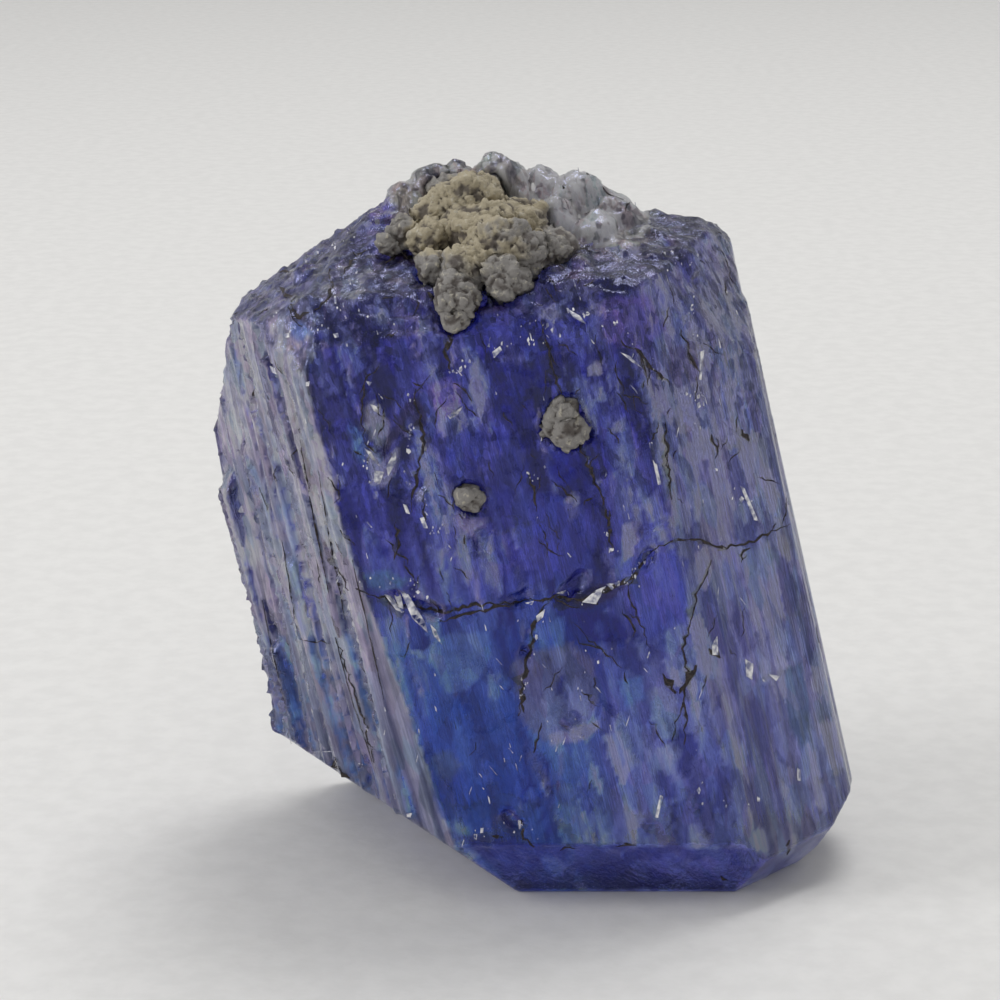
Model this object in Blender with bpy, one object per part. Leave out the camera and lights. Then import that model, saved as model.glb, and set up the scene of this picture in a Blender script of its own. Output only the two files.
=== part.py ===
"""A tanzanite crystal, about 24 mm tall, standing on its broken end.

One flattened, striated prism leans to the left and ends in an etched crown of clear lumps.
A crust and two grains of pale matrix sit in pockets of the crystal.

Run it with: blender --background --python part.py
Metres, +Z up. The origin lies on the flat broken face that the stone rests on, and the broad
front face of the prism looks along -Y.
"""

import math
import random

import bmesh
import bpy
from mathutils import Matrix, Vector, noise

MM = 0.001
SEED = 41

# The prism, in its own frame: s to the right, t to the back, h up along the crystal axis
LEAN = math.radians(13.5)
PRISM_LOW = -3.2
PRISM_HIGH = 25.2
LEVEL_STEP = 2.7
WIDENING = 0.075  # how much the far left edge spreads for each mm down the prism
WIDENING_FROM = 14.0
WIDENING_EDGE = -6.0  # only what lies left of this s spreads
STRIA_SWELL = 0.5  # how much a striation's height varies along the axis
STRIA_WAVER = 0.05

# Each side starts at its corner (s, t) in mm: the mean striation spacing and height on it follow
SIDES = [
    ("front", (-5.2, -5.0), 1.15, 0.10),
    ("right_bevel", (5.0, -5.0), 0.75, 0.14),
    ("right", (8.9, -1.5), 0.80, 0.12),
    ("right_back", (9.0, 1.4), 0.80, 0.20),
    ("back", (6.2, 5.6), 0.90, 0.22),
    ("back_left", (-3.2, 6.9), 0.85, 0.20),
    ("left_back", (-8.4, 6.3), 0.70, 0.18),
    ("left", (-10.0, 4.0), 0.62, 0.24),
]

# Faces that end the prism, as a point and an outward normal in its own frame
CROWN_FACES = {
    "crown_front": ((1.0, 1.0, 23.2), (0.13, -0.38, 1.0)),
    "crown_front_edge": ((1.0, -5.0, 20.2), (0.07, -0.80, 0.62)),
    "crown_back": ((1.0, 1.4, 23.4), (0.10, 0.40, 1.0)),
    "left_shoulder": ((-3.87, 1.0, 23.0), (-0.39, -0.14, 1.0)),
    "left_shoulder_back": ((-3.87, 1.4, 22.95), (-0.36, 0.38, 1.0)),
    "left_front_edge": ((-5.6, -4.3, 20.4), (-0.62, -0.66, 0.55)),
    "left_rear_chip": ((-9.10, 4.0, 18.0), (-0.84, 0.12, 0.53)),
    "right_shoulder": ((6.16, 1.0, 21.45), (0.32, -0.24, 1.0)),
    "right_shoulder_back": ((6.16, 1.2, 21.45), (0.30, 0.46, 1.0)),
    "right_end": ((8.45, 1.0, 20.5), (0.80, -0.10, 0.60)),
    "right_corner": ((6.2, -3.5, 20.9), (0.84, -0.47, 0.30)),
    "right_rear_chip": ((7.2, 4.4, 19.6), (0.50, 0.62, 0.60)),
}
# The narrow smooth facet that grows downwards between the front and the striated left side
EDGE_FACET = ((-5.2, -5.0, 14.8), (-0.535, -0.845, -0.041))

# Broken faces of the lower end, as a point and an outward normal in the standing frame
FOOT_FACES = {
    "resting_face": ((0.0, 0.0, 0.0), (0.0, 0.0, -1.0)),
    "front_undercut": ((0.0, -3.5, 0.0), (0.0, -0.842, -0.538)),
    "left_undercut": ((-3.0, -3.3, 0.0), (-0.55, -0.335, -0.765)),
    "front_right_undercut": ((5.0, -2.9, 0.0), (0.553, -0.522, -0.649)),
    "right_undercut": ((6.8, 0.0, 0.0), (0.76, 0.05, -0.64)),
    "right_corner_chip": ((8.3, -1.5, 2.5), (0.87, -0.20, -0.45)),
    "back_undercut": ((0.0, 5.2, 0.0), (0.08, 0.72, -0.69)),
}

# Rounded lobes of the crown, in the prism's frame: centre (s, t, h) and radius, all in mm
CROWN_LOBES = [
    ((-2.2, 0.4, 22.85), 0.75),
    ((-1.2, 0.9, 23.45), 0.70),
    ((-0.1, 0.9, 23.55), 0.95),
    ((0.75, 1.2, 23.60), 0.72),
    ((2.0, 0.8, 23.15), 1.10),
    ((3.25, 1.3, 22.75), 0.78),
    ((4.3, 1.0, 22.15), 1.00),
    ((5.3, 0.8, 21.35), 1.00),
    ((6.1, 0.6, 20.75), 0.72),
    ((-1.2, 2.3, 22.50), 0.95),
    ((0.6, 2.6, 22.45), 1.10),
    ((2.3, 2.5, 22.30), 0.90),
    ((3.6, 2.7, 21.80), 1.00),
    ((5.0, 2.2, 21.25), 0.85),
    ((3.6, -0.6, 22.05), 0.70),
    ((4.8, -1.1, 21.40), 0.75),
    ((-1.9, -0.9, 22.55), 0.60),
]
LOBE_STRETCH = 1.15  # along the crystal axis
LOBE_ROUGHNESS = 0.14
# The crest that the lobes stand on, as centre, radii and its fall to the right in degrees
CREST = ((1.9, 1.4, 22.1), (4.6, 2.1, 1.25), 12.0)

# Low bumps and shallow pits that etching left on the faces round the lobes
ETCHED_RANGE = ((-8.4, 7.6), (-4.6, 5.8))
ETCHED_MARGIN = 0.7  # kept free inside the prism's sides
BUMP_COUNT = 34
BUMP_RADII = (0.45, 0.85)
BUMP_SUNK = 0.45  # share of its radius that a bump's centre lies under the face
ETCH_PIT_COUNT = 26
ETCH_PIT_RADII = (0.25, 0.50)
ETCH_PIT_REACH = 1.6
ETCH_PIT_DEPTH = 0.8  # share of its radius
ETCHED_ROUGHNESS = 0.18
PIT_ROUGHNESS = 0.34

# Laths that grew along the prism: side, place along it from 0 to 1, width, height above the
# side, and their lower and upper ends, in mm
LATHS = [
    ("left", 0.11, 0.9, 0.14, -2.0, 15.5),
    ("left", 0.21, 0.6, 0.18, -2.0, 9.6),
    ("left", 0.33, 1.0, 0.20, 9.8, 17.4),
    ("left", 0.50, 1.1, 0.24, -2.0, 13.6),
    ("left", 0.72, 0.8, 0.20, 6.9, 20.8),
    ("left", 0.88, 0.9, 0.16, -2.0, 19.4),
    ("left_back", 0.45, 1.2, 0.30, 2.0, 17.0),
    ("back_left", 0.35, 1.6, 0.34, -2.0, 15.6),
    ("back_left", 0.80, 1.1, 0.24, 6.0, 20.0),
    ("back", 0.25, 1.5, 0.30, 4.0, 18.6),
    ("back", 0.62, 2.2, 0.36, -2.0, 13.0),
    ("right_back", 0.45, 1.4, 0.26, 3.0, 16.5),
    ("right", 0.50, 0.8, 0.14, -2.0, 18.6),
]
LATH_ROOT = 0.5  # how deep a lath is buried in the prism
LATH_CHAMFER = 0.12
LATH_SLANT = 0.6  # fall of the upper end, as a share of the width

# Open cracks of the front face, as points (s, h) in mm, with the crack's width and depth
CRACKS = {
    "cross_left": ([(-3.4, 11.9), (-2.6, 11.35), (-1.0, 11.2), (0.6, 11.1)], 0.17, 0.50),
    "cross_middle": ([(0.7, 11.0), (1.8, 11.2), (3.2, 10.9), (4.3, 11.9)], 0.19, 0.55),
    "cross_right": ([(4.4, 11.95), (5.8, 11.7), (7.1, 11.2), (8.8, 11.7)], 0.16, 0.50),
    "fork_down": ([(0.5, 10.7), (-0.1, 9.7), (-0.9, 8.2), (-1.3, 7.2)], 0.17, 0.45),
    "right_fork": ([(5.7, 11.1), (5.1, 9.7), (4.5, 8.2), (4.0, 6.6)], 0.16, 0.45),
    "seam": ([(2.3, 20.0), (2.6, 17.9), (2.75, 15.9), (3.1, 13.2)], 0.14, 0.40),
}
CRACK_MOUTH = 0.35  # how far a crack's cutter stands out of the face
CRACK_STEP = 0.7  # mean distance between the corners of a crack's jagged line
CRACK_JITTER = 0.14

# Chips where a cleavage has parted, as slanting boxes: centre (s, h), width, length along the
# slit and depth in mm, and how far the slit leans from the crystal axis in degrees
CHIPS = [
    ((-4.25, 12.2), 0.26, 0.9, 0.25, -52.0),
    ((-3.55, 11.85), 0.34, 1.8, 0.30, -52.0),
    ((-0.10, 11.35), 0.30, 1.0, 0.25, 74.0),
    ((1.60, 11.35), 0.40, 1.1, 0.30, 62.0),
    ((4.00, 11.65), 0.30, 0.8, 0.25, 40.0),
    ((-0.35, 9.90), 0.30, 1.4, 0.25, 18.0),
    ((-2.30, 3.90), 0.35, 0.8, 0.30, -35.0),
]

# Pits etched into the front face: centre (s, h) and radii across, along and into the face
PITS = [
    ((-2.7, 16.5), (0.80, 1.50, 0.30)),
    ((-0.9, 13.4), (0.45, 0.70, 0.22)),
    ((-5.1, 21.2), (0.90, 0.50, 0.30)),
    ((4.1, 7.0), (0.30, 0.45, 0.30)),
    ((0.6, 7.6), (0.80, 1.30, 0.14)),
    ((6.0, 17.0), (0.35, 1.00, 0.20)),
]
FRONT_T = -5.0

# Matrix: lumps fused into one crust, and two loose grains, centre (s, t, h) and radius in mm
POCKET_GAP = 0.25
CRUST_LUMPS = [
    ((0.8, -0.9, 23.0), 1.25),
    ((1.2, -1.9, 22.5), 1.20),
    ((1.5, -3.0, 22.0), 1.20),
    ((2.4, -1.4, 22.3), 0.95),
    ((2.2, -3.3, 21.8), 0.90),
    ((1.7, -4.2, 21.4), 0.70),
    ((0.0, -0.9, 23.1), 0.80),
    ((0.5, 0.3, 23.6), 0.70),
    ((1.2, 0.0, 23.3), 0.80),
    ((-0.4, -1.9, 22.7), 0.70),
    ((-0.4, -3.2, 22.1), 0.62),
    ((0.4, -3.6, 21.8), 0.75),
    ((0.1, -4.5, 21.2), 0.66),
    ((-0.1, -4.8, 20.6), 0.40),
    ((-1.2, -1.5, 23.0), 0.58),
    ((-1.8, -1.8, 22.8), 0.34),
    ((3.3, -2.7, 21.6), 0.72),
    ((2.9, -2.0, 21.9), 0.60),
]
GRAINS = {
    "matrix_grain_middle": [
        ((2.45, -4.95, 16.85), 0.46),
        ((2.55, -5.00, 16.35), 0.50),
        ((2.30, -4.90, 16.60), 0.42),
    ],
    "matrix_grain_left": [
        ((-1.06, -4.95, 14.95), 0.30),
        ((-1.00, -4.98, 14.75), 0.28),
    ],
}
GRAIN_ROUGHNESS = 0.26
FINE_LUMP_RADIUS = 0.65

TANZANITE_BLUE = (0.055, 0.06, 0.32, 1.0)
MATRIX_CREAM = (0.46, 0.40, 0.29, 1.0)


def clear_scene():
    for old in list(bpy.data.objects):
        bpy.data.objects.remove(old, do_unlink=True)


def new_collection(name, hidden=False):
    made = bpy.data.collections.new(name)
    bpy.context.scene.collection.children.link(made)
    made.hide_render = hidden
    return made


def mineral(name, colour, roughness, transmission=0.0):
    made = bpy.data.materials.new(name)
    made.use_nodes = True
    shader = made.node_tree.nodes["Principled BSDF"]
    shader.inputs["Base Color"].default_value = colour
    shader.inputs["Roughness"].default_value = roughness
    shader.inputs["Metallic"].default_value = 0.0
    shader.inputs["IOR"].default_value = 1.69
    shader.inputs["Transmission Weight"].default_value = transmission
    return made


def object_from(name, bm, collection, parent=None):
    """Makes an object of the bmesh, whose lengths are in mm, and frees the bmesh."""
    bmesh.ops.scale(bm, vec=(MM, MM, MM), verts=bm.verts)
    bmesh.ops.recalc_face_normals(bm, faces=bm.faces)
    mesh = bpy.data.meshes.new(name)
    bm.to_mesh(mesh)
    bm.free()
    made = bpy.data.objects.new(name, mesh)
    collection.objects.link(made)
    made.parent = parent
    return made


def as_tool(obj):
    """Marks a shape that only joins or cuts another."""
    obj.hide_render = True
    obj.display_type = "WIRE"
    return obj


def add_boolean(obj, operation, tools, solver="EXACT"):
    modifier = obj.modifiers.new(operation.lower(), "BOOLEAN")
    modifier.operation = operation
    modifier.solver = solver
    modifier.operand_type = "COLLECTION"
    modifier.collection = tools
    return modifier


def side_named(name):
    """Corner where the side starts, the corner where it ends, and its outward normal."""
    names = [side[0] for side in SIDES]
    index = names.index(name)
    start = Vector(SIDES[index][1])
    end = Vector(SIDES[(index + 1) % len(SIDES)][1])
    along = (end - start).normalized()
    return start, end, Vector((along.y, -along.x))


def striated_outline(rng):
    """Points round the prism, each with the outward shift that makes it a crest or a groove."""
    points = []
    for name, _, spacing, height in SIDES:
        start, end, outward = side_named(name)
        count = max(2, round((end - start).length / spacing))
        for step in range(count):
            place = (step + rng.uniform(-0.22, 0.22) * (step > 0)) / count
            groove = start.lerp(end, place)
            crest = start.lerp(end, place + rng.uniform(0.35, 0.6) / count)
            points.append((groove, outward, 0.0))
            points.append((crest, outward, height * rng.uniform(0.35, 1.0)))
    return points


def widening(s, height):
    """How far the prism's left edge has spread here, compared with its upper part."""
    return WIDENING * (WIDENING_FROM - height) * max(0.0, (WIDENING_EDGE - s) / 4.0)


def prism_point(point, outward, shift, height, column):
    """Where one point of the outline lies at this height: crests swell and fade along the axis."""
    along = noise.noise(Vector((column * 1.7, height * 0.16, 3.0)))
    across = noise.noise(Vector((column * 0.9, height * 0.30, 9.0)))
    crest_height = shift * (0.75 + STRIA_SWELL * along)
    place = point + outward * (crest_height + STRIA_WAVER * across * (shift > 0))
    return Vector((place.x - widening(place.x, height), place.y, height))


def crystal_prism(rng):
    """The striated prism: its outline is extruded level by level, then the faces cut its ends."""
    outline = striated_outline(rng)
    bm = bmesh.new()
    column_of = bm.verts.layers.int.new("column")
    ring = []
    for column, (point, outward, shift) in enumerate(outline):
        vert = bm.verts.new(prism_point(point, outward, shift, PRISM_LOW, column))
        vert[column_of] = column
        ring.append(vert)
    top = bm.faces.new(ring)
    levels = round((PRISM_HIGH - PRISM_LOW) / LEVEL_STEP)
    for level in range(1, levels + 1):
        height = PRISM_LOW + (PRISM_HIGH - PRISM_LOW) * level / levels
        grown = bmesh.ops.extrude_face_region(bm, geom=[top])["geom"]
        if level > 1:
            bmesh.ops.delete(bm, geom=[top], context="FACES_ONLY")
        for vert in (g for g in grown if isinstance(g, bmesh.types.BMVert)):
            column = vert[column_of]
            vert.co = prism_point(*outline[column], height, column)
        top = next(g for g in grown if isinstance(g, bmesh.types.BMFace))
    for point, normal in [*CROWN_FACES.values(), EDGE_FACET]:
        slice_off(bm, point, normal)
    return bm


def slice_off(bm, point, normal):
    """Cuts away what lies outside a plane, and closes the cut with one flat face."""
    cut = bmesh.ops.bisect_plane(
        bm,
        geom=[*bm.verts, *bm.edges, *bm.faces],
        dist=1e-6,
        plane_co=point,
        plane_no=normal,
        clear_outer=True,
    )["geom_cut"]
    edges = [g for g in cut if isinstance(g, bmesh.types.BMEdge)]
    bmesh.ops.holes_fill(bm, edges=edges, sides=0)


def crown_height(s, t):
    """Height of the prism's end faces above this place."""
    heights = []
    for point, normal in CROWN_FACES.values():
        drop = normal[0] * (s - point[0]) + normal[1] * (t - point[1])
        heights.append(point[2] - drop / normal[2])
    return min(heights)


def lump(centre, radii, roughness, fineness=2, turn=0.0):
    """A rough faceted ball with its own radius along s, t and h."""
    bm = bmesh.new()
    bmesh.ops.create_icosphere(bm, subdivisions=fineness, radius=1.0)
    for vert in bm.verts:
        seed = vert.co * 1.3 + Vector(centre) * 2.1
        vert.co *= 1.0 + roughness * 2.0 * noise.noise(seed)
    bmesh.ops.rotate(bm, verts=bm.verts, matrix=Matrix.Rotation(turn, 3, "Z"))
    bmesh.ops.scale(bm, verts=bm.verts, vec=radii)
    bmesh.ops.translate(bm, verts=bm.verts, vec=centre)
    return bm


def crest():
    """The long low swelling that joins the lobes."""
    centre, radii, fall = CREST
    bm = lump((0, 0, 0), radii, LOBE_ROUGHNESS)
    turn = Matrix.Rotation(math.radians(fall), 3, "Y")
    bmesh.ops.rotate(bm, verts=bm.verts, matrix=turn)
    bmesh.ops.translate(bm, verts=bm.verts, vec=centre)
    return bm


def is_inside(s, t, margin):
    """Whether the place lies inside every side of the prism by the margin."""
    for name, _, _, _ in SIDES:
        start, _, outward = side_named(name)
        if (Vector((s, t)) - start).dot(outward) > -margin:
            return False
    return True


def etched_places(rng, count):
    """Places strewn over the end faces: a point on them and a turn."""
    (low_s, high_s), (low_t, high_t) = ETCHED_RANGE
    for _ in range(count):
        s = rng.uniform(low_s, high_s)
        t = rng.uniform(low_t, high_t)
        turn = rng.uniform(0.0, math.pi)
        if is_inside(s, t, ETCHED_MARGIN):
            yield s, t, crown_height(s, t), turn


def etched_bumps(rng):
    """Low rough bumps, each with its centre a little under the surface."""
    for s, t, height, turn in etched_places(rng, BUMP_COUNT):
        radius = rng.uniform(*BUMP_RADII)
        radii = (radius * rng.uniform(0.7, 1.3), radius, radius * rng.uniform(0.8, 1.2))
        yield lump((s, t, height - BUMP_SUNK * radius), radii, ETCHED_ROUGHNESS, 1, turn)


def etched_pits(rng):
    """Tall narrow cutters that open each pit upwards, whatever grew above it."""
    for s, t, height, turn in etched_places(rng, ETCH_PIT_COUNT):
        radius = rng.uniform(*ETCH_PIT_RADII)
        radii = (radius * rng.uniform(1.0, 1.7), radius, ETCH_PIT_REACH)
        centre = (s, t, height + ETCH_PIT_REACH - ETCH_PIT_DEPTH * radius)
        yield lump(centre, radii, ETCHED_ROUGHNESS, 1, turn)


def lath(side, place, width, height, low, high):
    """A long box half buried in a side of the prism, with slanting ends."""
    start, end, outward = side_named(side)
    foot = start.lerp(end, place)
    turn = Matrix.Rotation(math.atan2(outward.y, outward.x) + math.pi / 2, 4, "Z")
    bm = bmesh.new()
    bmesh.ops.create_cube(bm, size=1.0)
    size = (width, LATH_ROOT + height, high - low)
    bmesh.ops.scale(bm, verts=bm.verts, vec=size)
    bmesh.ops.bevel(
        bm,
        geom=bm.edges[:],
        offset=LATH_CHAMFER,
        segments=1,
        profile=0.5,
        affect="EDGES",
    )
    for vert in bm.verts:
        if vert.co.y < 0 and vert.co.z > 0:
            vert.co.z -= LATH_SLANT * width
    # The box's outer wall stands "height" proud of the side, which runs through its origin
    bmesh.ops.translate(bm, verts=bm.verts, vec=(0, (LATH_ROOT - height) / 2, 0))
    bmesh.ops.transform(bm, matrix=turn, verts=bm.verts)
    middle = (low + high) / 2
    place = (foot.x - widening(foot.x, middle), foot.y, middle)
    bmesh.ops.translate(bm, verts=bm.verts, vec=place)
    return bm


def jagged(points, rng):
    """The crack's line with corners added between its points, thrown off it to either side."""
    line = []
    for start, end in zip(points, points[1:]):
        start = Vector(start)
        along = Vector(end) - start
        count = max(1, round(along.length / CRACK_STEP))
        aside = Vector((-along.y, along.x)).normalized()
        for step in range(count):
            thrown = rng.uniform(-CRACK_JITTER, CRACK_JITTER) * (step > 0)
            line.append(start + along * (step / count) + aside * thrown)
    line.append(Vector(points[-1]))
    return line


def crack(points, width, depth):
    """A thin wedge that follows the crack's points, open at the face and closed inside."""
    curve = bpy.data.curves.new("crack", "CURVE")
    curve.dimensions = "3D"
    curve.bevel_depth = width / 2
    curve.bevel_resolution = 0
    curve.use_fill_caps = True
    spline = curve.splines.new("POLY")
    spline.points.add(len(points) - 1)
    for knot, (s, h) in zip(spline.points, points):
        knot.co = (s, FRONT_T, h, 1.0)
    guide = bpy.data.objects.new("crack_guide", curve)
    bpy.context.scene.collection.objects.link(guide)
    graph = bpy.context.evaluated_depsgraph_get()
    mesh = bpy.data.meshes.new_from_object(guide.evaluated_get(graph))
    bm = bmesh.new()
    bm.from_mesh(mesh)
    bmesh.ops.remove_doubles(bm, verts=bm.verts, dist=1e-5)
    for vert in bm.verts:
        inwards = (vert.co.y - FRONT_T) / (width / 2)
        vert.co.y = FRONT_T + inwards * (depth if inwards > 0 else CRACK_MOUTH)
    bpy.data.objects.remove(guide)
    bpy.data.curves.remove(curve)
    bpy.data.meshes.remove(mesh)
    return bm


def chip(centre, width, length, depth, lean):
    """A slanting box that parts the surface of the front face."""
    turn = Matrix.Rotation(math.radians(lean), 3, "Y")
    bm = bmesh.new()
    bmesh.ops.create_cube(bm, size=1.0)
    bmesh.ops.scale(bm, verts=bm.verts, vec=(width, 2 * depth, length))
    bmesh.ops.rotate(bm, verts=bm.verts, matrix=turn)
    bmesh.ops.translate(bm, verts=bm.verts, vec=(centre[0], FRONT_T, centre[1]))
    return bm


def pit(centre, radii):
    """A shallow hollow of the front face, from its radii across, along and into the face."""
    across, along, inwards = radii
    place = (centre[0], FRONT_T, centre[1])
    return lump(place, (across, inwards, along), PIT_ROUGHNESS, 1)


def foot_envelope():
    """A block bounded below by the broken faces. The stone is what lies inside it."""
    bm = bmesh.new()
    bmesh.ops.create_cube(bm, size=64.0)
    for point, normal in FOOT_FACES.values():
        slice_off(bm, point, normal)
    return bm


def fused_lumps(name, lumps, collection, parent, swell=0.0):
    """One solid of several rough lumps. Swell makes the pocket that the same lumps sit in."""
    parts = new_collection(name + "_lumps", hidden=True)
    body = None
    for index, (centre, radius) in enumerate(lumps):
        reach = radius + swell
        fineness = 2 if radius > FINE_LUMP_RADIUS else 1
        bm = lump(centre, (reach, reach, reach), GRAIN_ROUGHNESS, fineness, turn=index * 0.7)
        if body is None:
            body = object_from(name, bm, collection, parent)
        else:
            as_tool(object_from(f"{name}_lump_{index}", bm, parts, parent))
    add_boolean(body, "UNION", parts)
    return body


def build():
    clear_scene()
    rng = random.Random(SEED)
    stone = new_collection("tanzanite")
    growths = new_collection("growths", hidden=True)
    cuts = new_collection("cuts", hidden=True)
    foot = new_collection("foot", hidden=True)
    axis = bpy.data.objects.new("crystal_axis", None)
    axis.rotation_euler = (0.0, -LEAN, 0.0)
    stone.objects.link(axis)
    blue = mineral("tanzanite", TANZANITE_BLUE, 0.12, transmission=0.85)
    cream = mineral("matrix", MATRIX_CREAM, 0.85)

    crystal = object_from("tanzanite_crystal", crystal_prism(rng), stone, axis)
    crystal.data.materials.append(blue)
    for index, (centre, radius) in enumerate(CROWN_LOBES):
        radii = (radius, radius, radius * LOBE_STRETCH)
        bm = lump(centre, radii, LOBE_ROUGHNESS, turn=index * 1.1)
        as_tool(object_from(f"crown_lobe_{index}", bm, growths, axis))
    as_tool(object_from("crest", crest(), growths, axis))
    for index, bm in enumerate(etched_bumps(rng)):
        as_tool(object_from(f"bump_{index}", bm, growths, axis))
    for index, values in enumerate(LATHS):
        as_tool(object_from(f"lath_{index}", lath(*values), growths, axis))
    for name, (points, width, depth) in CRACKS.items():
        bm = crack(jagged(points, rng), width, depth)
        as_tool(object_from("crack_" + name, bm, cuts, axis))
    for index, values in enumerate(CHIPS):
        as_tool(object_from(f"chip_{index}", chip(*values), cuts, axis))
    for index, (centre, radii) in enumerate(PITS):
        as_tool(object_from(f"pit_{index}", pit(centre, radii), cuts, axis))
    for index, bm in enumerate(etched_pits(rng)):
        as_tool(object_from(f"etch_pit_{index}", bm, cuts, axis))
    as_tool(object_from("foot_envelope", foot_envelope(), foot))

    matrix_parts = {"matrix_crust": CRUST_LUMPS, **GRAINS}
    for name, lumps in matrix_parts.items():
        made = fused_lumps(name, lumps, stone, axis)
        made.data.materials.append(cream)
        as_tool(fused_lumps(name + "_pocket", lumps, cuts, axis, swell=POCKET_GAP))

    # The exact solver leaves slits where the thin laths and the pockets graze the prism
    add_boolean(crystal, "UNION", growths, "MANIFOLD")
    add_boolean(crystal, "INTERSECT", foot, "MANIFOLD")
    add_boolean(crystal, "DIFFERENCE", cuts, "MANIFOLD")


build()
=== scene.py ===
import math
import random

import bmesh
import bpy
import numpy as np
from mathutils import Matrix, Vector, noise
from mathutils.bvhtree import BVHTree


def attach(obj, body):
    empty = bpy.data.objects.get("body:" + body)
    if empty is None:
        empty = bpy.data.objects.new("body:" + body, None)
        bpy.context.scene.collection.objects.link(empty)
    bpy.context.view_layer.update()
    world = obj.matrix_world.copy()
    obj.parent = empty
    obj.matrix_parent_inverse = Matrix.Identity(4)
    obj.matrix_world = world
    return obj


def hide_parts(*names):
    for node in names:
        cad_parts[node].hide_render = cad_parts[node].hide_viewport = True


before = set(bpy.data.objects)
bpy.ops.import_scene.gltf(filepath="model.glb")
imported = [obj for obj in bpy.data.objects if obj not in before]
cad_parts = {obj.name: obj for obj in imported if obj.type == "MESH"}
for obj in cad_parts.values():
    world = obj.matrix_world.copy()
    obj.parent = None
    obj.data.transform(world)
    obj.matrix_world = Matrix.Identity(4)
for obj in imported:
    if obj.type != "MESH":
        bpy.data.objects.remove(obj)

# Lengths in the dictionaries are in mm. Where they say s, t and h they are in the crystal's own
# frame: s to the right, t to the back, h up along the leaning crystal axis
mm = 0.001
lean = math.radians(13.5)
toStanding = Matrix.Rotation(-lean, 3, "Y")
toCrystal = Matrix.Rotation(lean, 3, "Y")
noise.seed_set(7)  # the noise vectors are the same in each run
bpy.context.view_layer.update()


# Small helpers

def smoothStep(low, high, value):
    share = min(1.0, max(0.0, (value - low) / (high - low)))
    return share * share * (3.0 - 2.0 * share)


def crystalPlace(co):
    return toCrystal @ (co / mm)


def standingPlace(s, t, h):
    return (toStanding @ Vector((s, t, h))) * mm


def cellValue(first, second):
    # a repeatable number from 0 to 1 for a cell
    return noise.cell(Vector((first + 0.5, second + 0.5, 0.5)))


def placeMesh(pieceName, mesh):
    piece = bpy.data.objects.new(pieceName, mesh)
    bpy.context.scene.collection.objects.link(piece)
    return piece


def placeBmesh(pieceName, bm):
    bmesh.ops.recalc_face_normals(bm, faces=bm.faces)
    mesh = bpy.data.meshes.new(pieceName)
    bm.to_mesh(mesh)
    bm.free()
    return placeMesh(pieceName, mesh)


def weldedCopy(nodeName, pieceName):
    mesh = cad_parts[nodeName].data.copy()
    mesh.name = pieceName
    mesh.materials.clear()
    bm = bmesh.new()
    bm.from_mesh(mesh)
    bmesh.ops.remove_doubles(bm, verts=bm.verts, dist=1e-6)
    bmesh.ops.recalc_face_normals(bm, faces=bm.faces)
    bm.to_mesh(mesh)
    bm.free()
    return placeMesh(pieceName, mesh)


def remeshed(piece, voxel):
    modifier = piece.modifiers.new("fine", "REMESH")
    modifier.mode = "VOXEL"
    modifier.voxel_size = voxel * mm
    modifier.adaptivity = 0.0
    graph = bpy.context.evaluated_depsgraph_get()
    mesh = bpy.data.meshes.new_from_object(piece.evaluated_get(graph))
    piece.modifiers.clear()
    old = piece.data
    piece.data = mesh
    bpy.data.meshes.remove(old)
    mesh.name = piece.name
    for polygon in mesh.polygons:
        polygon.use_smooth = True
    return piece


# Helpers for the node trees

def newMaterial(name):
    material = bpy.data.materials.new(name)
    material.use_nodes = True
    tree = material.node_tree
    tree.nodes.clear()
    shader = tree.nodes.new("ShaderNodeBsdfPrincipled")
    output = tree.nodes.new("ShaderNodeOutputMaterial")
    tree.links.new(shader.outputs[0], output.inputs["Surface"])
    return material, tree, shader, output


def plug(tree, socket, value):
    if isinstance(value, bpy.types.NodeSocket):
        tree.links.new(value, socket)
    elif isinstance(value, tuple) and len(value) == 3 and socket.type == "RGBA":
        socket.default_value = (*value, 1.0)
    else:
        socket.default_value = value


def mixColour(tree, share, first, second, blend="MIX"):
    mix = tree.nodes.new("ShaderNodeMix")
    mix.data_type = "RGBA"
    mix.blend_type = blend
    plug(tree, mix.inputs[0], share)
    plug(tree, mix.inputs[6], first)
    plug(tree, mix.inputs[7], second)
    return mix.outputs[2]


def ramp(tree, source, low, high, start=0.0, end=1.0):
    mapper = tree.nodes.new("ShaderNodeMapRange")
    mapper.interpolation_type = "SMOOTHSTEP"
    plug(tree, mapper.inputs["Value"], source)
    plug(tree, mapper.inputs["From Min"], low)
    plug(tree, mapper.inputs["From Max"], high)
    plug(tree, mapper.inputs["To Min"], start)
    plug(tree, mapper.inputs["To Max"], end)
    return mapper.outputs["Result"]


def maths(tree, operation, first, second=0.0):
    node = tree.nodes.new("ShaderNodeMath")
    node.operation = operation
    plug(tree, node.inputs[0], first)
    plug(tree, node.inputs[1], second)
    return node.outputs[0]


def vectorMaths(tree, operation, first, second):
    node = tree.nodes.new("ShaderNodeVectorMath")
    node.operation = operation
    plug(tree, node.inputs[0], first)
    plug(tree, node.inputs[1], second)
    return node.outputs[0]


def crystalCoordinates(tree, cell, shift=(0.0, 0.0, 0.0)):
    # object coordinates turned upright along the crystal, one unit for each cell size in mm
    coordinates = tree.nodes.new("ShaderNodeTexCoord")
    turned = tree.nodes.new("ShaderNodeMapping")
    turned.vector_type = "POINT"
    turned.inputs["Rotation"].default_value = (0.0, lean, 0.0)
    tree.links.new(coordinates.outputs["Object"], turned.inputs["Vector"])
    scale = tuple(1.0 / (mm * size) for size in cell)
    scaled = vectorMaths(tree, "MULTIPLY", turned.outputs["Vector"], scale)
    return vectorMaths(tree, "ADD", scaled, shift)


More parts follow.
